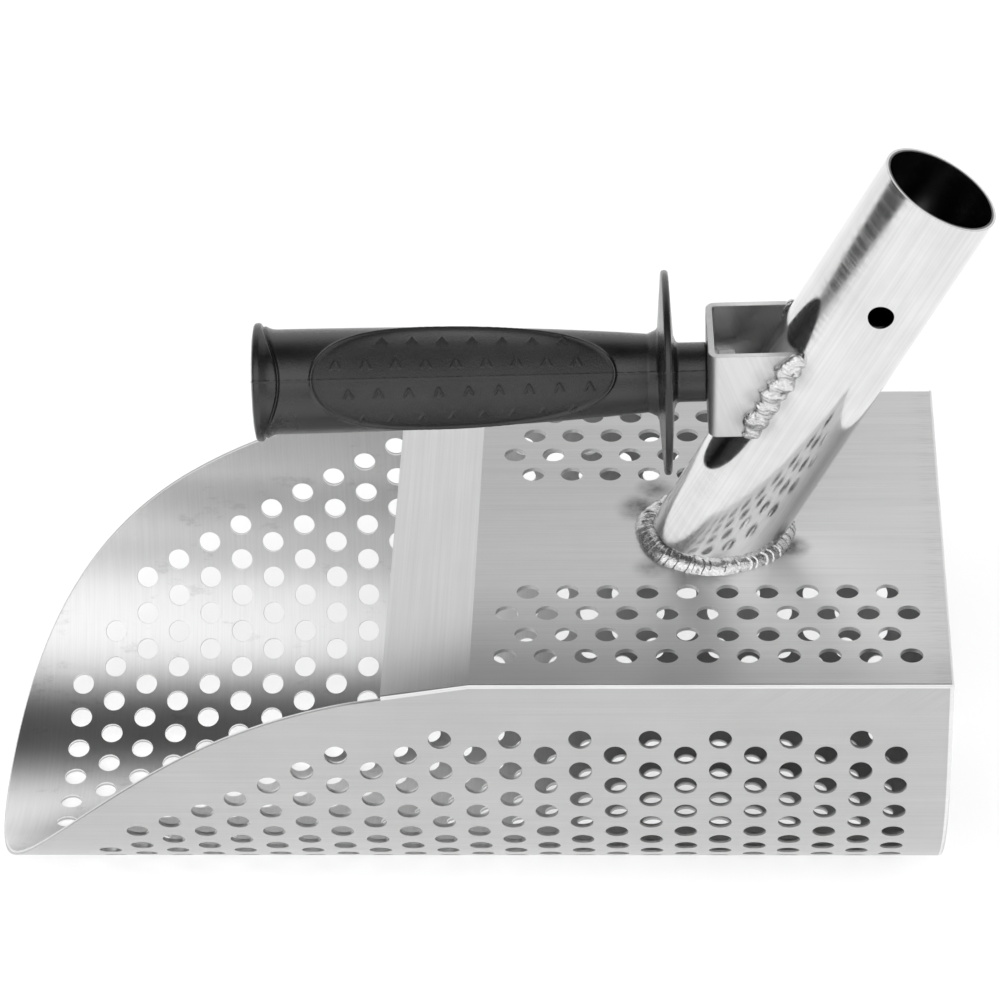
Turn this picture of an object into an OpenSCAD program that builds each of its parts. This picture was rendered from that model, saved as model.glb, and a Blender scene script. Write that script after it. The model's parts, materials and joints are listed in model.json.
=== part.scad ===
// Beach sand scoop: perforated sheet-steel body, welded pole socket and a screw-on side grip.
// x runs from the open mouth (-) to the back (+), y across, z up.
// The origin is on the ground, below the bend line of the top plate.

/* [Body] */
// Outer width of the body; the bottom is half of a round of this width
body_w = 176; // [150:1:200]
// Height of the straight part of the sides above the round bottom
side_h = 36; // [30:1:50]
// Thickness of the body sheet
sheet = 1.5; // [1:0.25:2]
// Length of the flat top plate, from its bend line to the back
plate_len = 166; // [160:1:180]
// Length of the lip, bent down in front of the plate
lip_len = 31; // [20:1:36]
// Slope of the lip
lip_slope = 9.5; // [6:0.5:12]
// Radius of the front cut of the sides, seen from the side
cut_r = 191; // [185:0.5:195]
// How far the front cut is turned, so that one side reaches further forward
cut_skew = 2.3; // [0:0.1:4]

/* [Perforation] */
// Diameter of the sieve holes
hole_d = 8; // [6:0.5:9]
// Distance between neighbouring holes
pitch = 14; // [13:0.5:16]
// Least distance between the front cut and the centre of a hole
front_rim = 20; // [14:1:24]
// First row of side holes, measured down from the top
side_first = 24; // [20:1:28]
// First row of top holes, measured from the middle of the plate
plate_first = 35.3; // [34:0.1:40]

/* [Pole socket] */
// Outer diameter of the socket tube
tube_d = 42.4; // [38:0.1:44]
// Wall of the socket tube
tube_wall = 1.5; // [1.2:0.1:2.5]
// Length of the socket along its axis, from the plate to the mouth
tube_len = 162.7; // [150:0.1:175]
// Angle between the socket and the plate
tube_angle = 62; // [58:0.5:66]
// Where the axis of the socket meets the plate, from the bend line
tube_x = 84.7; // [84:0.1:90]
// Diameter of the cross hole for the pole bolt
cross_d = 9; // [6:0.5:11]
// Cross hole, measured from the mouth of the socket
cross_from_mouth = 43; // [30:1:60]

/* [Grip bracket] */
// Outer size of the square-tube bracket
bracket_w = 34; // [32:1:36]
// Wall of the bracket
bracket_wall = 2.2; // [1.5:0.1:2.5]
// Height of the bracket
bracket_h = 33.4; // [30:0.1:36]
// Height of the lower edge of the bracket above the plate
bracket_rise = 53.4; // [50:0.1:56]
// Front face of the bracket, from the bend line
bracket_x = 82; // [80:0.5:82]
// How far the bracket and grip are turned towards one side
bracket_turn = 2; // [0:0.5:4]

/* [Grip] */
// Greatest diameter of the guard disc
guard_d = 71.4; // [60:0.2:76]
// Diameter of the collar that bears on the bracket
collar_d = 20.8; // [18:0.2:24]
// Diameter of the grip behind the guard
waist_d = 27.2; // [24:0.2:30]
// Diameter of the grip in front of its butt end
palm_d = 36.6; // [32:0.2:38]
// Diameter of the flared butt end
butt_d = 41.4; // [39:0.2:44]
// Length of the grip from the bracket to its butt end
grip_len = 158; // [150:1:170]
// How far the nut can be slackened before it would meet the socket
nut_travel = 1; // [0.5:0.1:1]

/* [Hidden] */

$fn = 96;
body_fn = 180;
hole_fn = 32;
outside = 300;

bottom_r = body_w / 2;
top_z = bottom_r + side_h;
plate_z = top_z - sheet;
shell_end = plate_len - sheet;
// The edges of the sheets stop this far inside the corners, and the ground seam welds fill them.
seam = 1;

// The front cut is a cylinder across the body, centred below the ground.
cut_x = -3.8;
cut_z = -71;

// Sieve holes: columns along x, with rows half a pitch apart down the sides.
column = pitch * sqrt(3) / 2;
row = pitch / 2;
last_column_x = 146.9;
side_columns = 26;
near_rows = 18;
far_rows = 25;
plate_rows = 4;
near_plate_columns = 10;
far_plate_columns = 8;
plate_hole_x = 12;
back_rows = 8;
back_columns = 5;
back_first = 20;
back_rim = 15;

tube_r = tube_d / 2;
tube_tilt = 90 - tube_angle;
socket_weld_w = 3.6;
socket_weld_h = 3.4;

bracket_z = top_z + bracket_rise;
bracket_corner = 3.5;
// The rear of the bracket is sawn off parallel to the socket, this far behind its front line.
saw_depth = 5.3;
bracket_weld_r = 3.2;
bracket_weld_depth = 5.8;
bracket_weld_from = 55;
bracket_weld_to = 87.5;

// The stud, washer and nut share the axis of the grip, measured from the front of the bracket.
grip_z = bracket_z + 16;
stud_d = 8;
stud_clearance = 0.16;
stud_root = 42;
stud_head_d = 14;
stud_head_t = 6;
washer_d = 16;
washer_t = 1.6;
nut_af = 13;
nut_t = 6.5;
nut_thread_gap = 0.1;
stud_tip = bracket_wall + washer_t + nut_t + nut_travel + 0.7;

// Outline of the grip: collar, guard with conical flanks, swelling body and flared butt.
collar_gap = 0.2;
collar_len = 11.6;
guard_at = 14.2;
guard_edge = 0.6;
body_start = 19;
butt_len = 8;
body_steps = 10;
swell = 2.5;

function side_angle(a) = max(0, (a - side_h) / bottom_r * 180 / PI);
function side_centre(a) = a < side_h ? top_z - a : bottom_r;
function side_z(a) = side_centre(a) - bottom_r * sin(side_angle(a));
function side_y(a) = bottom_r * cos(side_angle(a));
function front_cut(y, z) = cut_x - sqrt(pow(cut_r, 2) - pow(z - cut_z, 2)) - y * tan(cut_skew);

// Each row starts one column further forward than the row above, and the near top row one hole later.
function front_column(i, side) = i == 0 && side < 0 ? 13 : 15 + i;

function body_radius(t) = (waist_d + (palm_d - waist_d) * (1 - pow(1 - t, swell))) / 2;

module tube_frame() {
    translate([tube_x, 0, top_z])
        rotate([0, tube_tilt, 0])
            children();
}

module bracket_frame() {
    translate([bracket_x, 0, 0])
        rotate([0, 0, bracket_turn])
            children();
}

// Along the grip z is the distance from the front of the bracket towards the butt end.
module grip_frame() {
    bracket_frame()
        translate([0, 0, grip_z])
            rotate([0, -90, 0])
                children();
}

// A block with straight sides above and half a round below.
module trough(r, x0, x1, top) {
    translate([x0, 0, bottom_r])
        rotate([0, 90, 0])
            cylinder(r = r, h = x1 - x0, $fn = body_fn);
    translate([x0, -r, bottom_r])
        cube([x1 - x0, 2 * r, top - bottom_r]);
}

module above(z) {
    translate([-outside, -outside, z])
        cube([2 * outside, 2 * outside, outside]);
}

// Everything above the underside of the lip.
module above_lip() {
    translate([0, 0, top_z])
        rotate([0, -lip_slope, 0])
            translate([-outside, -outside, -sheet])
                cube([2 * outside, 2 * outside, outside]);
}

// One side of the plane that halves the bend: dir is 1 for the plate's side and -1 for the lip's.
module bend_half(dir) {
    rotate([0, -lip_slope / 2, 0])
        translate([min(dir, 0) * outside, -outside, -outside])
            cube([outside, 2 * outside, 2 * outside]);
}

// Runs a section along the flat plate as far as x1 and down the lip, mitred at the bend line.
module along_bend(x1) {
    overrun = 5;
    translate([0, 0, top_z]) {
        intersection() {
            translate([-overrun, 0, 0])
                rotate([90, 0, 90])
                    linear_extrude(height = x1 + overrun)
                        children();
            bend_half(1);
        }
        intersection() {
            rotate([0, -lip_slope, 0])
                translate([-lip_len, 0, 0])
                    rotate([90, 0, 90])
                        linear_extrude(height = lip_len + overrun)
                            children();
            bend_half(-1);
        }
    }
}

module front_cut_space() {
    difference() {
        translate([-outside, -outside, -outside])
            cube([outside - lip_len, 2 * outside, 2 * outside]);
        translate([cut_x, 0, cut_z])
            rotate([90, 0, cut_skew])
                cylinder(r = cut_r, h = 2 * outside, center = true, $fn = 360);
    }
}

module side_hole(x, a, side) {
    translate([x, 0, side_centre(a)])
        rotate([-side * (90 + side_angle(a)), 0, 0])
            translate([0, 0, bottom_r - 2 * sheet])
                cylinder(d = hole_d, h = 3 * sheet, $fn = hole_fn);
}

// Side +1 is the far side and -1 the near side; row 0 is the top one and column 0 the rearmost.
module side_holes(side, rows) {
    for (i = [0 : rows - 1]) {
        a = side_first + i * row;
        for (n = [1 - i % 2 : 2 : min(side_columns, front_column(i, side))]) {
            x = last_column_x - n * column;
            if (x > front_cut(side * side_y(a), side_z(a)) + front_rim)
                side_hole(x, a, side);
        }
    }
}

module scoop_shell() {
    color("silver")
    difference() {
        trough(bottom_r, -outside, shell_end, outside);
        trough(bottom_r - sheet, -outside - 1, outside, outside + 1);
        above(plate_z);
        above_lip();
        front_cut_space();
        side_holes(-1, near_rows);
        side_holes(1, far_rows);
    }
}

module plate_hole(x, y) {
    translate([x, y, plate_z - 1])
        cylinder(d = hole_d, h = sheet + 2, $fn = hole_fn);
}

// The holes of each row stand half a pitch apart from those of the next.
module plate_holes(side, columns) {
    for (i = [0 : plate_rows - 1], n = [0 : columns - 1 + i % 2])
        plate_hole(plate_hole_x + (n + (1 - i % 2) / 2) * pitch, side * (plate_first + i * column));
}

// The plate is open inside the socket, so that water and sand drop through.
module top_plate() {
    edge = bottom_r - seam;
    color("gainsboro")
    difference() {
        along_bend(plate_len - seam)
            translate([-edge, -sheet])
                square([2 * edge, sheet]);
        tube_frame()
            cylinder(r = tube_r - tube_wall, h = tube_d, center = true);
        plate_holes(-1, near_plate_columns);
        plate_holes(1, far_plate_columns);
    }
}

module back_plate() {
    color("silver")
    difference() {
        intersection() {
            trough(bottom_r - seam, shell_end, plate_len, outside);
            translate([0, -outside, 0])
                cube([outside, 2 * outside, plate_z]);
        }
        for (i = [0 : back_rows - 1], n = [-back_columns : back_columns]) {
            y = (n + (i % 2) / 2) * pitch;
            z = top_z - back_first - i * column;
            if (norm([y, min(0, z - bottom_r)]) < bottom_r - back_rim)
                translate([shell_end - 1, y, z])
                    rotate([0, 90, 0])
                        cylinder(d = hole_d, h = sheet + 2, $fn = hole_fn);
        }
    }
}

// Section of a ground corner weld: it fills the corner and is rounded on the outside.
module corner_bead() {
    square([seam, sheet - seam]);
    translate([0, sheet - seam])
        intersection() {
            circle(r = seam, $fn = 32);
            square(seam);
        }
}

module seam_weld_near() {
    color("lightgray")
    mirror([0, 1, 0])
        side_seam();
}

module seam_weld_far() {
    color("lightgray")
    side_seam();
}

module side_seam() {
    along_bend(plate_len - seam)
        translate([bottom_r - seam, -sheet])
            corner_bead();
}

// The back seam runs across the top, down both sides and round the bottom.
module seam_weld_back() {
    color("lightgray")
    {
        translate([plate_len - seam, bottom_r, plate_z])
            rotate([90, 0, 0])
                linear_extrude(height = body_w)
                    corner_bead();
        for (side = [0, 1])
            mirror([0, side, 0])
                translate([shell_end, bottom_r - seam, bottom_r])
                    linear_extrude(height = side_h - sheet)
                        mirror([1, -1])
                            corner_bead();
        translate([shell_end, 0, bottom_r])
            rotate([0, 90, 0])
                rotate([0, 0, -90])
                    rotate_extrude(angle = 180, $fn = body_fn)
                        translate([bottom_r - seam, 0])
                            corner_bead();
    }
}

module socket_tube() {
    color("whitesmoke")
    difference() {
        tube_frame()
            difference() {
                translate([0, 0, -tube_r])
                    cylinder(d = tube_d, h = tube_len + tube_r);
                translate([0, 0, -2 * tube_r])
                    cylinder(r = tube_r - tube_wall, h = tube_len + 3 * tube_r);
                translate([0, 0, tube_len - cross_from_mouth])
                    rotate([90, 0, 0])
                        cylinder(d = cross_d, h = 2 * tube_d, center = true);
            }
        translate([-outside, -outside, top_z - outside])
            cube([2 * outside, 2 * outside, outside]);
    }
}

module socket_weld() {
    color("darkgray")
    difference() {
        intersection() {
            tube_frame()
                cylinder(r = tube_r + socket_weld_w, h = tube_d, center = true);
            translate([0, -outside / 2, top_z])
                cube([outside, outside, socket_weld_h]);
        }
        tube_frame()
            cylinder(d = tube_d, h = 2 * tube_d, center = true);
    }
}

// Square tube with rounded corners, standing on its lower edge.
module square_tube_outline(size, inset, r, h) {
    w = size - 2 * inset;
    translate([inset, -w / 2, 0]) {
        translate([r, 0, 0])
            cube([w - 2 * r, w, h]);
        translate([0, r, 0])
            cube([w, w - 2 * r, h]);
        for (x = [r, w - r], y = [r, w - r])
            translate([x, y, 0])
                cylinder(r = r, h = h, $fn = 48);
    }
}

module bracket_blank() {
    difference() {
        bracket_frame()
            translate([0, 0, bracket_z])
                square_tube_outline(bracket_w, 0, bracket_corner, bracket_h);
        tube_frame()
            translate([saw_depth - tube_r, -outside / 2, -outside])
                cube([outside, outside, 3 * outside]);
    }
}

module handle_bracket() {
    color("gainsboro")
    difference() {
        bracket_blank();
        bracket_frame()
            translate([0, 0, bracket_z - 1])
                square_tube_outline(bracket_w, bracket_wall, bracket_corner - bracket_wall, bracket_h + 2);
        grip_frame()
            cylinder(d = stud_d + stud_clearance, h = bracket_w / 2, center = true, $fn = 48);
        tube_frame()
            cylinder(d = tube_d, h = tube_len);
    }
}

module bracket_weld(side) {
    color("darkgray")
    difference() {
        tube_frame()
            translate([bracket_weld_depth - tube_r, side * (bracket_w / 2 - 0.8), bracket_weld_from]) {
                cylinder(r = bracket_weld_r, h = bracket_weld_to - bracket_weld_from);
                sphere(r = bracket_weld_r);
                translate([0, 0, bracket_weld_to - bracket_weld_from])
                    sphere(r = bracket_weld_r);
            }
        tube_frame()
            cylinder(d = tube_d, h = tube_len);
        bracket_blank();
        bracket_frame()
            translate([0, 0, bracket_z - 10])
                square_tube_outline(bracket_w, bracket_wall, bracket_corner - bracket_wall, bracket_h + 20);
    }
}

module bracket_weld_near() {
    bracket_weld(-1);
}

module bracket_weld_far() {
    bracket_weld(1);
}

module stud_solid() {
    translate([0, 0, -stud_tip])
        cylinder(d = stud_d, h = stud_tip + stud_root);
    translate([0, 0, stud_root])
        cylinder(d = stud_head_d, h = stud_head_t, $fn = 6);
}

module grip_moulding() {
    body_end = grip_len - butt_len;
    collar = [[0, collar_gap], [collar_d / 2 - 1, collar_gap], [collar_d / 2, collar_gap + 1],
              [collar_d / 2, collar_len]];
    guard = [[guard_d / 2 - 1, guard_at - 2 * guard_edge], [guard_d / 2, guard_at - guard_edge],
             [guard_d / 2, guard_at + guard_edge], [guard_d / 2 - 1, guard_at + 2 * guard_edge],
             [waist_d / 2 + 1.5, body_start - 1.5]];
    body = [for (k = [0 : body_steps]) [body_radius(k / body_steps),
            body_start + (body_end - body_start) * k / body_steps]];
    butt = [[palm_d / 2 + 1, body_end + 3], [butt_d / 2, body_end + 5.5], [butt_d / 2 - 0.2, grip_len - 1],
            [butt_d / 2 - 1.5, grip_len], [0, grip_len]];
    color("dimgray")
    grip_frame()
        difference() {
            rotate_extrude()
                polygon(concat(collar, guard, body, butt));
            stud_solid();
        }
}

module grip_stud() {
    color("silver")
    grip_frame()
        stud_solid();
}

module grip_washer() {
    color("gray")
    grip_frame()
        translate([0, 0, -bracket_wall - washer_t])
            difference() {
                cylinder(d = washer_d, h = washer_t);
                translate([0, 0, -1])
                    cylinder(d = stud_d + stud_clearance, h = washer_t + 2, $fn = 48);
            }
}

module grip_nut() {
    color("gray")
    grip_frame()
        translate([0, 0, -bracket_wall - washer_t - nut_t])
            difference() {
                cylinder(d = nut_af / cos(30), h = nut_t, $fn = 6);
                translate([0, 0, -1])
                    cylinder(d = stud_d + nut_thread_gap, h = nut_t + 2, $fn = 48);
            }
}

scoop_shell();
top_plate();
back_plate();
seam_weld_near();
seam_weld_far();
seam_weld_back();
socket_tube();
socket_weld();
handle_bracket();
bracket_weld_near();
bracket_weld_far();
grip_moulding();
grip_stud();
grip_washer();
grip_nut();
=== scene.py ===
"""Looks of the beach sand scoop: materials on the CAD nodes, detailed grip, nut, stud and weld beads."""
import json
import math

import bpy
import numpy as np
from mathutils import Matrix, Vector

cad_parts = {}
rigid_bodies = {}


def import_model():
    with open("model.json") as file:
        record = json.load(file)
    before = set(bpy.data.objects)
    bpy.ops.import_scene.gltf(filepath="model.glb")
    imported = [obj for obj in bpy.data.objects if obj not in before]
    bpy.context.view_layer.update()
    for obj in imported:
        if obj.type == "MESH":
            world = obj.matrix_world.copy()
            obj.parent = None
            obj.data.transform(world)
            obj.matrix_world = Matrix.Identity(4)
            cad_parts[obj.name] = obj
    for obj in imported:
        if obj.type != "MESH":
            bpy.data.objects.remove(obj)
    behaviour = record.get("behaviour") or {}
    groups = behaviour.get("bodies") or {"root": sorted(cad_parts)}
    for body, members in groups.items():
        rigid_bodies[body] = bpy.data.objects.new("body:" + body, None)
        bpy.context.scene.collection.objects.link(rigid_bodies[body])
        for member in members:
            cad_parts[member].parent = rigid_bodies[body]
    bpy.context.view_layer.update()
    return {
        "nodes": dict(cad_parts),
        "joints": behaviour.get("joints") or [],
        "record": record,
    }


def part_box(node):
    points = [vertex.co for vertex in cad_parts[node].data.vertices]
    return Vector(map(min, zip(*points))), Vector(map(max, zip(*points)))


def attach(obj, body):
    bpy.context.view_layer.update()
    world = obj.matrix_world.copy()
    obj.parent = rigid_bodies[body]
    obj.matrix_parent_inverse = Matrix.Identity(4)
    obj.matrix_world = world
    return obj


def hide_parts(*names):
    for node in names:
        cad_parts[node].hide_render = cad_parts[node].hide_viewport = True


for leftover in list(bpy.data.objects):
    bpy.data.objects.remove(leftover)
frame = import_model()

MM = 0.001
UP = np.array([0.0, 0.0, 1.0])


# ---------------------------------------------------------------- frame positions

def joint(name):
    return next(j for j in frame["joints"] if j["name"] == name)


def mount(name):
    return next(m for m in frame["record"]["mounts"] if m["name"] == name)


def node_points(node):
    mesh = frame["nodes"][node].data
    points = np.zeros(len(mesh.vertices) * 3)
    mesh.vertices.foreach_get("co", points)
    return points.reshape(-1, 3)


def span_along(node, origin, axis):
    """Lowest and highest distance of a CAD node along an axis, in metres."""
    distance = (node_points(node) - origin) @ axis
    return distance.min(), distance.max()


plate_end, plate_side, plate_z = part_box("top_plate")[1]
body_half_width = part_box("scoop_shell")[1][1]

# The grip's own axis starts at the bracket and runs to the butt end; angles turn from up to the near side.
grip_origin = np.array(joint("grip_turn")["pos_m"])
grip_axis = -np.array(joint("grip_turn")["axis"])
grip_near = np.cross(UP, grip_axis)
grip_near *= -np.sign(grip_near[1])

# The socket's axis meets the top of the plate at its foot.
socket_axis = np.array(mount("pole_socket")["axis"])
socket_point = np.array(mount("pole_socket")["pos_m"])
socket_foot = socket_point + socket_axis * (plate_z - socket_point[2]) / socket_axis[2]
socket_side = np.array([0.0, 1.0, 0.0])
socket_back = np.cross(socket_side, socket_axis)
socket_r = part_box("socket_tube")[1][1]


def from_foot(x, y, z=0.0):
    """A point given from the foot of the socket's axis, on the top plate."""
    return socket_foot + np.array([x, y, z])


# ---------------------------------------------------------------- mesh helpers

def grid_object(name, grid, closed_rows=False, shade_smooth=True):
    """A mesh over a grid of points, closed across each row and, with closed_rows, from last row to first."""
    rows, columns, _ = grid.shape
    index = np.arange(rows * columns).reshape(rows, columns)
    across = np.roll(index, -1, axis=1)
    if closed_rows:
        ahead, ahead_across = np.roll(index, -1, axis=0), np.roll(across, -1, axis=0)
    else:
        ahead, ahead_across = index[1:], across[1:]
        index, across = index[:-1], across[:-1]
    faces = np.stack([index, across, ahead_across, ahead], axis=-1).reshape(-1, 4).tolist()
    if not closed_rows:
        faces.append(list(range(columns))[::-1])
        faces.append([(rows - 1) * columns + k for k in range(columns)])
    mesh = bpy.data.meshes.new(name)
    mesh.from_pydata(grid.reshape(-1, 3).tolist(), [], faces)
    mesh.update()
    if shade_smooth:
        mesh.polygons.foreach_set("use_smooth", [True] * len(mesh.polygons))
    piece = bpy.data.objects.new(name, mesh)
    bpy.context.scene.collection.objects.link(piece)
    face_outward(piece)
    return piece


def face_outward(piece):
    """Turns a closed mesh's faces so that its volume counts as positive."""
    mesh = piece.data
    mesh.calc_loop_triangles()
    points = np.zeros(len(mesh.vertices) * 3)
    mesh.vertices.foreach_get("co", points)
    points = points.reshape(-1, 3)
    corners = np.zeros(len(mesh.loop_triangles) * 3, int)
    mesh.loop_triangles.foreach_get("vertices", corners)
    a, b, c = (points[corners.reshape(-1, 3)[:, k]] for k in range(3))
    if (a * np.cross(b, c)).sum() < 0:
        mesh.flip_normals()


def join(name, pieces):
    for piece in bpy.data.objects:
        piece.select_set(piece in pieces)
    bpy.context.view_layer.objects.active = pieces[0]
    bpy.ops.object.join()
    pieces[0].name = name
    return pieces[0]


def rounded_outline(corners, step):
    """Points along a polyline of (s, r, radius) whose corners are rounded by that radius."""
    corners = [np.array(c, float) for c in corners]
    outline = [corners[0][:2]]
    for before, corner, after in zip(corners, corners[1:], corners[2:]):
        to_before = before[:2] - corner[:2]
        to_after = after[:2] - corner[:2]
        to_before /= np.linalg.norm(to_before)
        to_after /= np.linalg.norm(to_after)
        half = math.acos(np.clip(to_before @ to_after, -1, 1)) / 2
        radius = corner[2]
        if radius == 0 or half > math.radians(89.5):
            outline.append(corner[:2])
            continue
        reach = radius / math.tan(half)
        inward = (to_before + to_after) / np.linalg.norm(to_before + to_after)
        centre = corner[:2] + inward * radius / math.sin(half)
        start = corner[:2] + to_before * reach - centre
        end = corner[:2] + to_after * reach - centre
        turn = math.atan2(start[0] * end[1] - start[1] * end[0], start @ end)
        pieces = max(3, int(abs(turn) * radius / step) + 1)
        for k in range(pieces + 1):
            c, s = math.cos(turn * k / pieces), math.sin(turn * k / pieces)
            outline.append(centre + np.array([start[0] * c - start[1] * s, start[0] * s + start[1] * c]))
    outline.append(corners[-1][:2])
    return np.array(outline)


def resampled(outline, spacing):
    """The same polyline with points no further apart than spacing(s)."""
    points = [outline[0]]
    for a, b in zip(outline, outline[1:]):
        pieces = max(1, int(math.ceil(np.linalg.norm(b - a) / spacing((a[0] + b[0]) / 2))))
        points.extend(a + (b - a) * k / pieces for k in range(1, pieces + 1))
    return np.array(points)


def smooth_step(x, low, high):
    t = np.clip((x - low) / (high - low), 0, 1)
    return t * t * (3 - 2 * t)


# ---------------------------------------------------------------- grip moulding

PARTING = math.radians(55)
COLUMNS = 360
GRIP_LENGTH = span_along("grip_moulding", grip_origin, grip_axis)[1] / MM
COLLAR_R = 10.4
GUARD_R = 35.7
WAIST_R = 13.6
PALM_SWELL = 4.7
SWELL_FROM, SWELL_TO = 19.0, 150.0
BODY_FROM, BODY_TO = 20.5, 149.5
OVAL_CENTRE = 84.7
OVAL_HALF_LENGTH = 52.4
OVAL_HALF_ANGLE = math.radians(78)
MARK_PITCH = 10.4
MARK_ROW_ANGLE = math.radians(16.5)


def body_radius(s):
    """Radius of the swelling body, thickest near the butt end."""
    t = np.clip((s - SWELL_FROM) / (SWELL_TO - SWELL_FROM), 0, 1)
    return WAIST_R + PALM_SWELL * (1 - (1 - t) ** 2.5)


def grip_outline():
    """Outline of the moulding: collar, guard, swelling body and flared butt, as (distance, radius)."""
    front = rounded_outline([
        (0.2, 3.9, 0), (0.2, COLLAR_R, 0.7), (10.5, COLLAR_R, 1.4), (11.6, 13.2, 0.8), (13.0, GUARD_R, 1.0),
        (15.4, GUARD_R, 1.0), (17.0, 15.3, 1.8), (BODY_FROM, body_radius(BODY_FROM), 0)], 0.3)
    body = np.array([(s, body_radius(s)) for s in np.linspace(BODY_FROM, BODY_TO, 60)])
    end = GRIP_LENGTH
    butt = rounded_outline([
        (BODY_TO, body_radius(BODY_TO), 0), (end - 6.5, 18.5, 7), (end - 2.9, 20.7, 1.2),
        (end - 0.9, 20.6, 1.1), (end - 0.3, 17.5, 2), (end, 8, 0), (end, 0.4, 0)], 0.25)
    outline = np.concatenate([front[:-1], body, butt[1:]])
    return resampled(outline, lambda s: 0.3 if 31 < s < 139 else 0.25 if s > 144 else 0.55)


def caret_height(across, down):
    """Height of one raised caret, its point towards the top of the grip; both distances in mm."""
    arm = np.abs(np.abs(across) - 0.52 * (down + 1.5))
    inside = smooth_step(down, -2.1, -1.5) * (1 - smooth_step(down, 1.3, 1.8))
    return np.exp(-(arm / 0.42) ** 2) * inside


def grip_relief(s, angle, radius):
    """Relief of the moulding in mm: oval ridge, recessed panel, carets, butt groove and parting line."""
    turned = (angle - PARTING + math.pi / 2) % math.pi - math.pi / 2
    along = s - OVAL_CENTRE
    oval = np.sqrt((along / OVAL_HALF_LENGTH) ** 2 + (turned / OVAL_HALF_ANGLE) ** 2) + 1e-6
    steepness = (along / OVAL_HALF_LENGTH ** 2) ** 2 + (turned / OVAL_HALF_ANGLE ** 2 / radius) ** 2
    slope = np.sqrt(steepness) / oval
    distance = (oval - 1) / np.maximum(slope, 1e-6)
    body = smooth_step(s, 22, 26) * (1 - smooth_step(s, 147, 149))
    ridge = 0.7 * np.exp(-(distance / 0.55) ** 2)
    recess = 0.32 * (1 - smooth_step(distance, -0.9, 0.1))
    relief = body * (ridge - recess)
    for row, first, count in ((-3, 50.1, 7), (-1, 45.3, 9), (1, 41.1, 9), (3, 46.6, 8)):
        down = (turned - row * MARK_ROW_ANGLE) * radius
        for k in range(count):
            across = s - first - k * MARK_PITCH
            near = (np.abs(across) < 3) & (np.abs(down) < 3)
            relief[near] += 0.55 * caret_height(across[near], down[near])
    groove_at = GRIP_LENGTH - 9.5 + 5.5 * np.sin(turned) ** 2
    groove = np.exp(-((s - groove_at) / 0.5) ** 2) * (s > 140)
    relief -= groove
    seam = np.abs(turned) * radius
    relief += np.exp(-(seam / 0.28) ** 2) * (0.22 + 0.06 * np.sin(s * 1.7)) * (radius > 6)
    panel = (1 - smooth_step(distance, -0.8, 0.0)) * body
    return relief, panel


def build_grip():
    outline = grip_outline()
    tangent = np.gradient(outline, axis=0)
    tangent /= np.linalg.norm(tangent, axis=1)[:, None]
    normal = np.stack([-tangent[:, 1], tangent[:, 0]], axis=1)
    angles = PARTING + np.arange(COLUMNS) * 2 * math.pi / COLUMNS
    s, angle = np.meshgrid(outline[:, 0], angles, indexing="ij")
    radius = np.repeat(outline[:, 1:2], COLUMNS, axis=1)
    relief, panel = grip_relief(s, angle, radius)
    s = s + relief * normal[:, 0:1]
    radius = radius + relief * normal[:, 1:2]
    out = np.cos(angle)[..., None] * UP + np.sin(angle)[..., None] * grip_near
    grid = grip_origin + MM * (s[..., None] * grip_axis + radius[..., None] * out)
    grip = grid_object("grip_rubber", grid)
    grip.data.attributes.new("panel", "FLOAT", "POINT").data.foreach_set("value", panel.ravel())
    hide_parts("grip_moulding")
    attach(grip, "grip")
    return grip


# ---------------------------------------------------------------- stud and nut

THREAD_PITCH = 1.25
THREAD_DEPTH = 0.62
STUD_R = 4.0
STUD_POINT_R = 2.9
HEAD_HEIGHT = 6.0
HEAD_FLATS = 14 * math.cos(math.pi / 6)
NUT_FLATS = 13.0


def on_grip_axis(profile):
    """Points turned about the grip's axis: profile[row][column] is (s, r) in mm, with columns round it."""
    columns = profile.shape[1]
    angle = np.arange(columns) * 2 * math.pi / columns
    out = np.cos(angle)[:, None] * UP + np.sin(angle)[:, None] * grip_near
    return grip_origin + MM * (profile[..., 0:1] * grip_axis + profile[..., 1:2] * out[None])


def build_stud():
    low, high = (d / MM for d in span_along("grip_stud", grip_origin, grip_axis))
    shank_end = high - HEAD_HEIGHT
    columns = 48
    s = np.linspace(low, shank_end, int((shank_end - low) / 0.16))
    turn = np.arange(columns) / columns
    phase = (s[:, None] / THREAD_PITCH - turn[None]) % 1
    crest = np.abs(phase - 0.5) * 2
    radius = STUD_R - THREAD_DEPTH * np.clip(crest * 1.25 - 0.12, 0, 1)
    radius = np.minimum(radius, STUD_POINT_R + s[:, None] - low)
    profile = np.stack([np.repeat(s[:, None], columns, 1), radius], axis=-1)
    rod = grid_object("stud_thread", on_grip_axis(profile))
    bolt_head = grid_object("stud_head", hexagon(shank_end, high, HEAD_FLATS, 0.0), shade_smooth=False)
    stud = join("stud_bolt", [rod, bolt_head])
    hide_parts("grip_stud")
    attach(stud, "grip")
    return stud


def hexagon(low, high, across_flats, bore_r):
    """Grid of a hexagon nut or bolt head with 30 degree chamfers, from low to high along the grip's axis."""
    columns = 72
    turn = np.arange(columns) * 2 * math.pi / columns
    flat = (turn + math.pi / 6) % (math.pi / 3) - math.pi / 6
    hex_r = across_flats / 2 / np.cos(flat)
    face_r = across_flats / 2 * 0.95
    drop = np.maximum(hex_r - face_r, 0) * math.tan(math.radians(30))
    bore = np.full(columns, max(bore_r, 0.2))
    bevel = 0.5 if bore_r > 0 else 0.0
    face = np.minimum(face_r, hex_r)
    rings = [(low + bevel, bore), (low, bore + bevel), (low, face), (low + drop, hex_r),
             (high - drop, hex_r), (high, face), (high, bore + bevel), (high - bevel, bore)]
    profile = np.array([np.stack(np.broadcast_arrays(*ring), axis=-1) for ring in rings])
    return on_grip_axis(profile)


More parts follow.
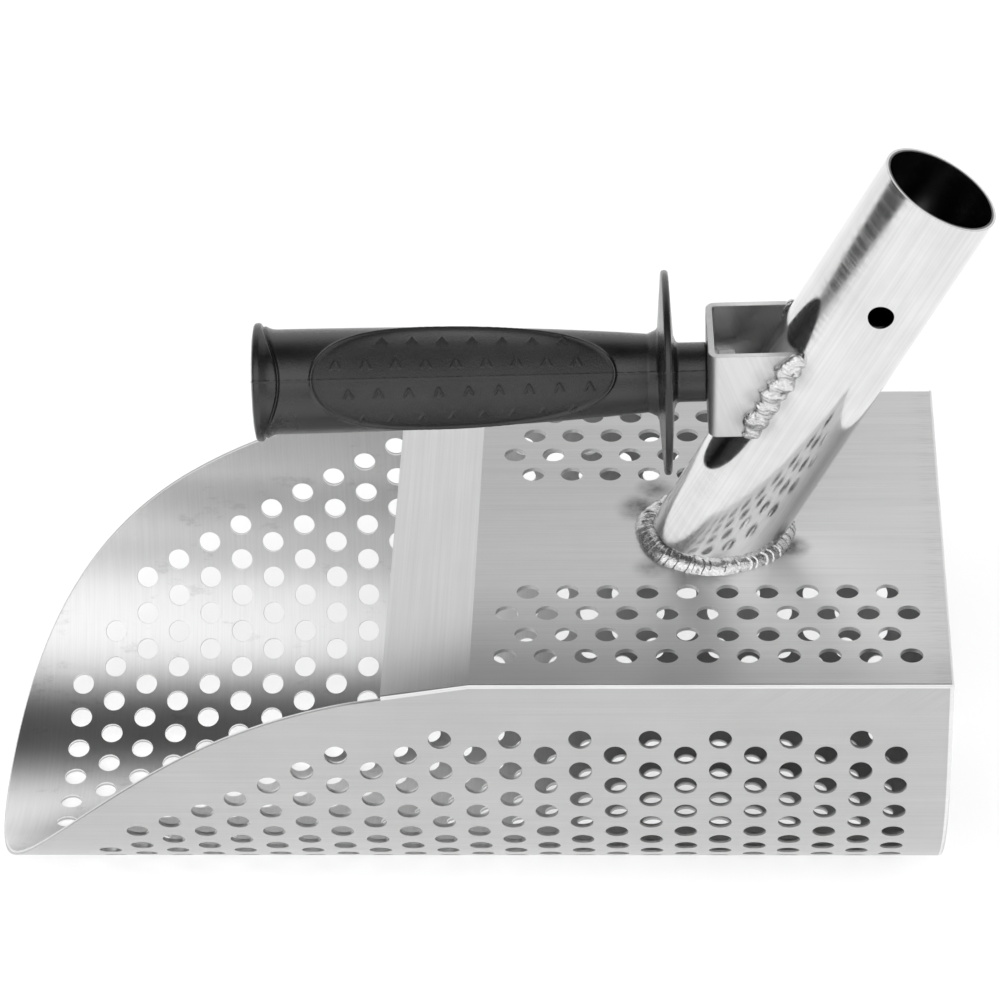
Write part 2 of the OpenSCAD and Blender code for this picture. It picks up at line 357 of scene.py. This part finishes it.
def build_nut():
    low, high = (d / MM for d in span_along("grip_nut", grip_origin, grip_axis))
    grid = hexagon(low, high, NUT_FLATS, STUD_R + 0.05)
    nut = grid_object("hex_nut", grid, closed_rows=True, shade_smooth=False)
    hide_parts("grip_nut")
    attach(nut, "nut")
    return nut


# ---------------------------------------------------------------- weld beads

def build_socket_weld():
    """A ring of overlapping crescents in the corner between the plate and the leaning socket."""
    random = np.random.default_rng(7)
    stations, columns = 900, 22
    turn = np.arange(stations) * 2 * math.pi / stations
    ring = np.cos(turn)[:, None] * socket_back + np.sin(turn)[:, None] * socket_side
    foot = socket_foot + ring * socket_r
    foot += socket_axis * ((plate_z - foot[:, 2]) / socket_axis[2])[:, None]
    along = np.roll(foot, -1, axis=0) - np.roll(foot, 1, axis=0)
    length = np.linalg.norm(np.roll(foot, -1, axis=0) - foot, axis=1)
    along /= np.linalg.norm(along, axis=1)[:, None]
    outward = np.cross(along, UP)
    outward *= np.sign((outward * (foot - socket_foot)).sum(axis=1))[:, None]
    upward = socket_axis - along * (along @ socket_axis)[:, None]
    upward /= np.linalg.norm(upward, axis=1)[:, None]
    distance = np.cumsum(length) / MM
    total = distance[-1]
    ripples = 50
    starts = (np.arange(ripples) + random.uniform(-0.42, 0.42, ripples)) * total / ripples
    heights = random.uniform(0.35, 1.5, ripples)
    width = 4.9 + 0.35 * np.sin(3 * turn + 1) + 0.35 * np.sin(7 * turn)
    rise = 3.7 + 0.3 * np.sin(2 * turn + 2) + 0.25 * np.sin(9 * turn + 1)
    corner = np.arccos(np.clip((outward * upward).sum(axis=1), -1, 1))
    side = np.cross(along, outward)
    side *= np.sign((side * upward).sum(axis=1))[:, None]
    grid = np.zeros((stations, columns, 3))
    for k in range(columns):
        t = k / (columns - 1)
        swing = corner * (t * 1.16 - 0.08)
        lag = 1.5 * math.sin(math.pi * t)
        position = (distance - lag) % total
        after = (position[:, None] - starts[None]) % total
        latest = after.argmin(axis=1)
        phase = after.min(axis=1) / (total / ripples)
        crescent = heights[latest] * (0.5 - np.clip(phase, 0, 1.4)) * 0.62
        bulge = 1 - 0.14 * math.sin(math.pi * t)
        fade = math.sin(math.pi * min(max(t, 0.04), 0.96)) ** 0.5
        reach = (width * (1 - t) + rise * t) * bulge + crescent * fade
        direction = np.cos(swing)[:, None] * outward + np.sin(swing)[:, None] * side
        grid[:, k] = foot + direction * (reach * MM)[:, None]
    grid = np.concatenate([grid, foot[:, None] - outward[:, None] * 0.6 * MM - UP * 0.3 * MM], axis=1)
    weld = grid_object("socket_bead", grid, closed_rows=True)
    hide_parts("socket_weld")
    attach(weld, "scoop")
    return weld


def build_bracket_weld(name, node, side, seed):
    """A line of overlapping lumps along the socket, beside the sawn edge of the bracket."""
    random = np.random.default_rng(seed)
    points = node_points(node)
    low, high = (d / MM for d in span_along(node, socket_foot, socket_axis))
    across = 0.5 * (points[:, 1].min() + points[:, 1].max())
    back = (points.mean(axis=0) - socket_foot) @ socket_back
    stations, columns = 320, 40
    s = np.linspace(low, high, stations)
    lumps = 7
    centres = np.linspace(low + 2.2, high - 2.2, lumps) + random.uniform(-1.1, 1.1, lumps)
    sizes = random.uniform(0.7, 1.25, lumps)
    turn = np.arange(columns) * 2 * math.pi / columns
    grid = np.zeros((stations, columns, 3))
    wander = 0.5 * np.sin(s * 0.55 + seed) + 0.35 * np.sin(s * 1.3)
    for k in range(columns):
        outward = math.cos(turn[k])
        twist = 0.7 * math.sin(2 * turn[k] + seed) + 0.35 * np.sin(3 * turn[k] + 0.9 * s)
        position = s - 1.2 * max(outward, 0) + twist
        lump = np.exp(-((position[:, None] - centres[None]) / 2.2) ** 2) * sizes[None]
        swell = lump.max(axis=1)
        ripple = np.zeros(stations)
        for centre in centres:
            away = np.abs(position - centre)
            ripple += 0.1 * np.cos(away * 3.6) * np.exp(-(away / 2.8) ** 2)
        radius = 2.9 + 0.85 * swell + ripple
        ends = np.sqrt(np.clip(1 - ((s - (low + high) / 2) / ((high - low) / 2)) ** 6, 0.0, 1))
        radius = np.maximum(radius * ends, 0.15)
        sideways = np.maximum(0.8 * radius * outward, -1.2)
        grid[:, k] = (socket_foot + np.outer(s * MM, socket_axis)
                      + np.outer(back + (wander + 1.25 * radius * math.sin(turn[k])) * MM, socket_back)
                      + np.outer(across + side * sideways * MM, socket_side))
    weld = grid_object(name, grid)
    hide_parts(node)
    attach(weld, "scoop")
    return weld


# ---------------------------------------------------------------- material helpers

class Shader:
    """A node tree with one Principled surface, built with short calls."""

    def __init__(self, name):
        self.material = bpy.data.materials.new(name)
        self.material.use_nodes = True
        self.tree = self.material.node_tree
        self.tree.nodes.clear()
        self.surface = self.tree.nodes.new("ShaderNodeBsdfPrincipled")
        output = self.tree.nodes.new("ShaderNodeOutputMaterial")
        self.tree.links.new(self.surface.outputs[0], output.inputs["Surface"])
        self.position = self.node("ShaderNodeTexCoord").outputs["Object"]
        self.normal = self.node("ShaderNodeNewGeometry").outputs["Normal"]

    def node(self, kind, *inputs, **settings):
        made = self.tree.nodes.new(kind)
        for key, value in settings.items():
            setattr(made, key, value)
        for socket, value in zip(made.inputs, inputs):
            self.put(socket, value)
        return made

    def put(self, socket, value):
        if isinstance(value, bpy.types.NodeSocket):
            self.tree.links.new(value, socket)
        elif value is not None:
            socket.default_value = value

    def set(self, **values):
        for name, value in values.items():
            self.put(self.surface.inputs[name.replace("_", " ").title().replace("Ior", "IOR")], value)

    def math(self, operation, a, b=None, c=None, clamp=False):
        return self.node("ShaderNodeMath", a, b, c, operation=operation, use_clamp=clamp).outputs[0]

    def vector(self, operation, a, b=None):
        return self.node("ShaderNodeVectorMath", a, b, operation=operation).outputs

    def split(self, vector):
        return self.node("ShaderNodeSeparateXYZ", vector).outputs

    def scaled(self, vector, scale, turn=(0, 0, 0)):
        """Stretches a pattern's space, after turning it."""
        turned = self.node("ShaderNodeMapping", vector, None, turn).outputs[0]
        return self.node("ShaderNodeMapping", turned, None, None, scale).outputs[0]

    def noise(self, vector, scale, detail=3.0, rough=0.6):
        made = self.node("ShaderNodeTexNoise")
        self.put(made.inputs["Vector"], vector)
        self.put(made.inputs["Scale"], scale)
        self.put(made.inputs["Detail"], detail)
        self.put(made.inputs["Roughness"], rough)
        return made.outputs["Fac"]

    def between(self, value, low, high, to_low=0.0, to_high=1.0):
        made = self.node("ShaderNodeMapRange", interpolation_type="SMOOTHSTEP")
        for socket, number in zip(made.inputs, (value, low, high, to_low, to_high)):
            self.put(socket, number)
        return made.outputs[0]

    def mix(self, factor, a, b):
        made = self.node("ShaderNodeMix", data_type="FLOAT")
        self.put(made.inputs[0], factor)
        self.put(made.inputs[2], a)
        self.put(made.inputs[3], b)
        return made.outputs[0]

    def mix_vector(self, factor, a, b):
        made = self.node("ShaderNodeMix", data_type="VECTOR")
        self.put(made.inputs[0], factor)
        self.put(made.inputs[4], a)
        self.put(made.inputs[5], b)
        return made.outputs[1]

    def near_point(self, point, radius):
        """1 at a point of the frame, falling to 0 at that radius in metres."""
        away = self.vector("DISTANCE", self.position, tuple(point))[1]
        return self.between(away, 0.0, radius, 1.0, 0.0)

    def bump(self, height, distance, strength=1.0, normal=None):
        made = self.node("ShaderNodeBump")
        self.put(made.inputs["Strength"], strength)
        self.put(made.inputs["Distance"], distance)
        self.put(made.inputs["Height"], height)
        if normal is not None:
            self.put(made.inputs["Normal"], normal)
        return made.outputs[0]

    def round_edges(self, radius):
        made = self.node("ShaderNodeBevel", samples=4)
        self.put(made.inputs["Radius"], radius)
        return made.outputs[0]


def paint(material, *objects):
    for item in objects:
        item.data.materials.clear()
        item.data.materials.append(material)


def brush_lines(shader, along, turn=(0, 0, 0)):
    """Fine and coarse brush lines that run along one axis: 0 is X, 1 is Y and 2 is Z."""
    fine = [1500.0, 1500.0, 1500.0]
    coarse = [330.0, 330.0, 330.0]
    fine[along], coarse[along] = 14.0, 5.0
    lines = shader.noise(shader.scaled(shader.position, fine, turn), 1.0, 2.0)
    bands = shader.noise(shader.scaled(shader.position, coarse, turn), 1.0, 3.0)
    return shader.math("ADD", shader.math("MULTIPLY", lines, 0.6), shader.math("MULTIPLY", bands, 0.4))


def heat_tint(shader, spots):
    """Dark, blotchy oxide round the welds: spots are (point, radius in metres, strength)."""
    total = None
    for point, radius, strength in spots:
        spot = shader.math("MULTIPLY", shader.near_point(point, radius), strength)
        total = spot if total is None else shader.math("MAXIMUM", total, spot)
    blotch = shader.between(shader.noise(shader.position, 260.0, 4.0), 0.3, 0.7, 0.55, 1.0)
    return shader.math("MULTIPLY", total, blotch, clamp=True)


def steel(shader, lines, stretch, base, rough, tint=None, edge=0.0002, relief=0.000012, anisotropic=0.8,
          contrast=0.04):
    """Brushed steel: lines is the brush pattern, stretch the direction in which it smears reflections."""
    cloud = shader.noise(shader.position, 22.0, 3.0)
    streak = shader.between(lines, 0.3, 0.7)
    value = shader.math("MULTIPLY", base, shader.mix(streak, 1 - contrast, 1 + contrast))
    value = shader.math("MULTIPLY", value, shader.between(cloud, 0.2, 0.8, 0.95, 1.04))
    roughness = shader.mix(streak, rough * 1.06, rough * 0.95)
    roughness = shader.math("ADD", roughness, shader.between(cloud, 0.2, 0.8, -0.02, 0.03))
    if tint is not None:
        value = shader.mix(tint, value, 0.06)
        roughness = shader.mix(tint, roughness, 0.45)
    shader.set(base_color=value, metallic=1.0, roughness=roughness, anisotropic=anisotropic)
    if stretch is not None:
        shader.put(shader.surface.inputs["Tangent"], stretch)
    shader.put(shader.surface.inputs["Normal"], shader.bump(lines, relief, normal=shader.round_edges(edge)))
    return shader


# ---------------------------------------------------------------- materials

def shell_material():
    """Brushed along the body outside and around it inside."""
    shader = Shader("sheet_shell")
    x, y, z = shader.split(shader.position)[0:3]
    below = shader.math("MINIMUM", shader.math("SUBTRACT", z, body_half_width), 0.0)
    squares = shader.math("ADD", shader.math("POWER", y, 2.0), shader.math("POWER", below, 2.0))
    away = shader.math("SQRT", squares)
    inside = shader.math("LESS_THAN", away, body_half_width - 0.0008)
    around = shader.vector("CROSS_PRODUCT", (1.0, 0.0, 0.0), shader.normal)[0]
    stretch = shader.mix_vector(inside, around, (1.0, 0.0, 0.0))
    ground = shader.math("MULTIPLY", shader.between(z, plate_z - 0.016, plate_z - 0.004),
                         shader.between(x, 0.02, 0.12))
    outer = shader.mix(ground, brush_lines(shader, 0), brush_lines(shader, 0, (0.0, math.radians(38), 0.0)))
    rubbed = shader.noise(shader.scaled(shader.position, (1300.0, 30.0, 30.0)), 1.0, 2.0)
    inner = shader.between(rubbed, 0.2, 0.8, 0.38, 0.62)
    lines = shader.mix(inside, outer, inner)
    # Painted shade inside the body: the colour falls from 0.86 at the mouth to 0.30 deep inside. At the
    # mouth it is painted lighter than the outside's 0.56 to stand in for light. Real scuffs darken it a
    # little more.
    painted_shade_and_scuffs = shader.between(x, -0.01, 0.06, 0.86, 0.30)
    wear = shader.noise(shader.scaled(shader.position, (45.0, 90.0, 90.0)), 1.0, 7.0, 0.72)
    scuffs = shader.between(wear, 0.55, 0.70)
    painted_shade_and_scuffs = shader.math("MULTIPLY", painted_shade_and_scuffs, shader.between(scuffs, 0.0, 1.0, 1.0, 0.86))
    return steel(shader, lines, stretch, shader.mix(inside, 0.56, painted_shade_and_scuffs), 0.36).material


def plate_material():
    """Brushed along the plate, across the lip, and darkened by heat round the socket weld."""
    shader = Shader("sheet_plate")
    x, y = shader.split(shader.position)[0:2]
    lip = shader.math("LESS_THAN", x, 0.0)
    stretch = shader.mix_vector(lip, (0.0, 1.0, 0.0), (1.0, 0.0, 0.0))
    lines = shader.mix(lip, brush_lines(shader, 0), brush_lines(shader, 1))
    ring = socket_r * 1.35
    spots = [(from_foot(-0.92 * ring, 0.5 * ring), 0.011, 0.9),
             (from_foot(-0.75 * ring, 0.9 * ring), 0.009, 0.7),
             (from_foot(0.95 * ring, -0.32 * ring), 0.009, 0.95),
             (from_foot(-0.8 * ring, -0.75 * ring), 0.008, 0.5),
             (from_foot(0, -0.95 * ring), 0.009, 0.35)]
    grinding = shader.noise(shader.scaled(shader.position, (90.0, 1300.0, 1.0)), 1.0, 2.0)
    hatch = shader.between(grinding, 0.35, 0.6)
    ground = shader.between(x, plate_end - 0.009, plate_end - 0.003)
    # Painted shade: the plate is darker towards the front and along a 30 mm strip at its near edge.
    base = shader.math("MULTIPLY", shader.between(x, 0.0, plate_end, 0.84, 0.98),
                       shader.between(y, -plate_side, 0.03 - plate_side, 0.84, 1.0))
    base = shader.mix(ground, base, shader.math("MULTIPLY", base, shader.between(hatch, 0, 1, 0.93, 1.0)))
    base = shader.mix(lip, base, 0.72)
    return steel(shader, lines, stretch, base, 0.38, heat_tint(shader, spots)).material


def back_material():
    shader = Shader("sheet_back")
    return steel(shader, brush_lines(shader, 2), (0.0, 1.0, 0.0), 0.70, 0.4).material


def seam_material():
    shader = Shader("ground_seam")
    return steel(shader, brush_lines(shader, 0), None, 0.82, 0.3, anisotropic=0.0).material


def tube_material():
    """Polished outside with faint drawing lines, dull inside and painted dark there as shade, heat tint at
    both welds.
    """
    shader = Shader("polished_tube")
    offset = shader.vector("SUBTRACT", shader.position, tuple(socket_foot))[0]
    height = shader.vector("DOT_PRODUCT", offset, tuple(socket_axis))[1]
    drawn = shader.node("ShaderNodeVectorMath", tuple(socket_axis), None, None, height, operation="SCALE")
    away = shader.vector("DISTANCE", offset, drawn.outputs[0])[1]
    inside = shader.math("LESS_THAN", away, socket_r - 0.0008)
    around = shader.vector("CROSS_PRODUCT", tuple(socket_axis), shader.normal)[0]
    lean = math.atan2(socket_axis[0], socket_axis[2])
    lines = shader.noise(shader.scaled(shader.position, (900.0, 900.0, 16.0), (0, -lean, 0)), 1.0, 2.0)
    polish = shader.noise(shader.scaled(shader.position, (40.0, 40.0, 700.0), (0, -lean, 0)), 1.0, 3.0)
    cloud = shader.noise(shader.position, 45.0, 3.0)
    weld = node_points("bracket_weld_near").mean(axis=0)
    spots = [(weld + socket_axis * 0.012 + socket_back * 0.003, 0.009, 0.35),
             (weld + socket_back * 0.003, 0.008, 0.3),
             (weld - socket_axis * 0.012 + socket_back * 0.003, 0.008, 0.35),
             (from_foot(socket_r, -0.6 * socket_r, 0.003), 0.008, 0.5)]
    tint = heat_tint(shader, spots)
    value = shader.math("MULTIPLY", shader.between(cloud, 0.25, 0.75, 0.70, 0.78),
                        shader.between(lines, 0.3, 0.7, 0.94, 1.04))
    value = shader.mix(tint, value, 0.12)
    # Painted shade: the inside of the tube is painted dark.
    value = shader.mix(inside, value, shader.between(cloud, 0.3, 0.7, 0.12, 0.22))
    roughness = shader.between(polish, 0.3, 0.7, 0.085, 0.15)
    roughness = shader.mix(tint, roughness, 0.35)
    roughness = shader.mix(inside, roughness, 0.26)
    shader.set(base_color=value, metallic=1.0, roughness=roughness, anisotropic=0.35)
    shader.put(shader.surface.inputs["Tangent"], around)
    shader.put(shader.surface.inputs["Normal"],
               shader.bump(lines, 0.000006, normal=shader.round_edges(0.0003)))
    return shader.material


def bracket_material():
    shader = Shader("bracket_steel")
    weld = node_points("bracket_weld_near").mean(axis=0)
    spots = [(weld + socket_axis * along * MM - socket_back * 0.003, 0.009, 0.45)
             for along in (-12, -4, 4, 12)]
    lines = brush_lines(shader, 2, (0.0, math.radians(20), 0.0))
    return steel(shader, lines, (1.0, 0.0, 0.0), 0.76, 0.36, heat_tint(shader, spots), edge=0.0004).material


def weld_material():
    """Bright, glassy ripples with dark oxide in the dips."""
    shader = Shader("weld_metal")
    fine = shader.noise(shader.position, 900.0, 4.0)
    patch = shader.noise(shader.position, 210.0, 3.0)
    oxide = shader.between(patch, 0.56, 0.72)
    value = shader.mix(oxide, shader.between(fine, 0.3, 0.7, 0.66, 0.86), 0.16)
    roughness = shader.mix(oxide, shader.between(fine, 0.3, 0.7, 0.16, 0.28), 0.42)
    shader.set(base_color=value, metallic=1.0, roughness=roughness)
    shader.put(shader.surface.inputs["Normal"], shader.bump(fine, 0.0004, 0.6))
    return shader.material


def zinc_material():
    shader = Shader("zinc_metal")
    spangle = shader.noise(shader.position, 500.0, 3.0)
    value = shader.between(spangle, 0.3, 0.7, 0.42, 0.6)
    shader.set(base_color=value, metallic=1.0, roughness=shader.between(spangle, 0.3, 0.7, 0.3, 0.42))
    shader.put(shader.surface.inputs["Normal"],
               shader.bump(spangle, 0.00005, normal=shader.round_edges(0.0002)))
    return shader.material


def grip_material():
    """Black moulded plastic, satin outside the oval and leather-grained inside it."""
    shader = Shader("black_plastic")
    panel = shader.node("ShaderNodeAttribute", attribute_name="panel").outputs["Fac"]
    cloud = shader.noise(shader.position, 60.0, 4.0)
    fine = shader.noise(shader.position, 1800.0, 3.0)
    grain = shader.noise(shader.position, 1500.0, 4.0, 0.75)
    lengthwise = shader.noise(shader.scaled(shader.position, (25.0, 500.0, 500.0)), 1.0, 3.0)
    value = shader.between(cloud, 0.3, 0.7, 0.003, 0.008)
    value = shader.math("MULTIPLY", value, shader.between(lengthwise, 0.3, 0.7, 0.85, 1.2))
    roughness = shader.mix(panel, shader.between(cloud, 0.3, 0.7, 0.20, 0.30), 0.30)
    shader.set(base_color=value, roughness=roughness, ior=1.5, specular_ior_level=0.8)
    height = shader.mix(panel, shader.math("MULTIPLY", fine, 0.3), grain)
    shader.put(shader.surface.inputs["Normal"], shader.bump(height, 0.0004, 0.9))
    return shader.material


def floor_material():
    shader = Shader("pale_floor")
    tone = shader.noise(shader.position, 3.0, 2.0)
    shader.set(base_color=shader.between(tone, 0.2, 0.8, 0.93, 0.95), roughness=0.9)
    return shader.material


# ---------------------------------------------------------------- studio

def build_floor():
    size = 14.0
    ring = np.array([[math.cos(a), math.sin(a), 0] for a in np.linspace(0, 2 * math.pi, 96, endpoint=False)])
    mesh = bpy.data.meshes.new("studio_floor")
    mesh.from_pydata((ring * size).tolist(), [], [list(range(96))])
    floor = bpy.data.objects.new("studio_floor", mesh)
    bpy.context.scene.collection.objects.link(floor)
    paint(floor_material(), floor)


def fill_ramp(ramp, stops):
    """Grey levels along a colour ramp, as (place from 0 to 1, level)."""
    elements = ramp.color_ramp.elements
    while len(elements) < len(stops):
        elements.new(0.5)
    for element, (place, level) in zip(elements, stops):
        element.position = place
        element.color = (level, level, level, 1)


def build_world():
    """A studio tent: a wide softbox above the camera, a dark gap overhead and dark flags at the sides."""
    world = bpy.data.worlds.new("studio")
    world.use_nodes = True
    bpy.context.scene.world = world
    tree = world.node_tree
    tree.nodes.clear()

    def add(kind, *inputs, **settings):
        made = tree.nodes.new(kind)
        for key, value in settings.items():
            setattr(made, key, value)
        for socket, value in zip(made.inputs, inputs):
            if isinstance(value, bpy.types.NodeSocket):
                tree.links.new(value, socket)
            elif value is not None:
                socket.default_value = value
        return made

    direction = add("ShaderNodeSeparateXYZ", add("ShaderNodeTexCoord").outputs["Generated"]).outputs
    towards_camera = add("ShaderNodeMath", direction[1], -1.0, operation="MULTIPLY").outputs[0]
    arc = add("ShaderNodeMath", direction[2], towards_camera, operation="ARCTAN2").outputs[0]
    turn = add("ShaderNodeMath", arc, math.pi, operation="DIVIDE").outputs[0]
    ramp = add("ShaderNodeValToRGB", turn)
    # Degrees from the horizon behind the camera, up and over to the far horizon, with the brightness there.
    stops = [(0, 0.62), (12, 0.72), (24, 1.15), (55, 1.2), (66, 0.9), (76, 0.4), (84, 0.08), (110, 0.04),
             (121, 0.2), (133, 0.62), (146, 0.92), (165, 0.9), (180, 0.7)]
    fill_ramp(ramp, [(degrees / 180, level) for degrees, level in stops])
    across = add("ShaderNodeMapRange", direction[0], -1.0, 1.0, 0.0, 1.0).outputs[0]
    sides = add("ShaderNodeValToRGB", across)
    side_stops = [(0.0, 0.12), (0.08, 0.2), (0.17, 1.1), (0.5, 1.05), (0.85, 0.98), (0.93, 0.5), (1.0, 0.4)]
    fill_ramp(sides, side_stops)
    seen = add("ShaderNodeLightPath").outputs["Is Camera Ray"]
    lit = add("ShaderNodeMath", ramp.outputs[0], sides.outputs[0], operation="MULTIPLY").outputs[0]
    level = add("ShaderNodeMix", seen, None, lit, 1.0, data_type="FLOAT")
    background = add("ShaderNodeBackground", (1, 1, 1, 1), level.outputs[0])
    tree.links.new(background.outputs[0], add("ShaderNodeOutputWorld").inputs["Surface"])


def build_light():
    """One broad, soft lamp from above and in front, which the steel doesn't mirror."""
    lamp = bpy.data.lights.new("key_light", "SUN")
    lamp.energy = 2.3
    lamp.angle = math.radians(70)
    lamp.use_shadow = False
    key = bpy.data.objects.new("key_light", lamp)
    bpy.context.scene.collection.objects.link(key)
    key.rotation_euler = (math.radians(28), math.radians(-18), 0)
    key.visible_glossy = False


def build_camera():
    """A long lens from the near side, aimed at the plate near its bend line."""
    azimuth, elevation, roll = (math.radians(a) for a in (-3.086, 36.158, -1.989))
    distance = 1.6142
    forward = Vector((math.sin(azimuth) * math.cos(elevation), math.cos(azimuth) * math.cos(elevation),
                      -math.sin(elevation)))
    right = forward.cross(Vector((0, 0, 1))).normalized()
    down = forward.cross(right)
    image_x = right * math.cos(roll) - down * math.sin(roll)
    image_y = -(right * math.sin(roll) + down * math.cos(roll))
    aim = Vector((0.0073, 0.0195, float(plate_z)))
    data = bpy.data.cameras.new("camera")
    data.lens = 160.7
    data.sensor_width = 36
    camera = bpy.data.objects.new("camera", data)
    bpy.context.scene.collection.objects.link(camera)
    axes = Matrix((image_x, image_y, -forward)).transposed()
    camera.matrix_world = Matrix.Translation(aim - forward * distance) @ axes.to_4x4()
    bpy.context.scene.camera = camera


# ---------------------------------------------------------------- assembly

build_camera()
build_world()
build_light()
build_floor()
bpy.context.scene.view_settings.view_transform = "Standard"

nodes = frame["nodes"]
paint(shell_material(), nodes["scoop_shell"])
paint(plate_material(), nodes["top_plate"])
paint(back_material(), nodes["back_plate"])
paint(seam_material(), nodes["seam_weld_near"], nodes["seam_weld_far"], nodes["seam_weld_back"])
paint(tube_material(), nodes["socket_tube"])
paint(bracket_material(), nodes["handle_bracket"])
zinc = zinc_material()
paint(zinc, nodes["grip_washer"], build_stud(), build_nut())
paint(weld_material(), build_socket_weld(),
      build_bracket_weld("bracket_bead_near", "bracket_weld_near", -1, 3),
      build_bracket_weld("bracket_bead_far", "bracket_weld_far", 1, 5))
paint(grip_material(), build_grip())
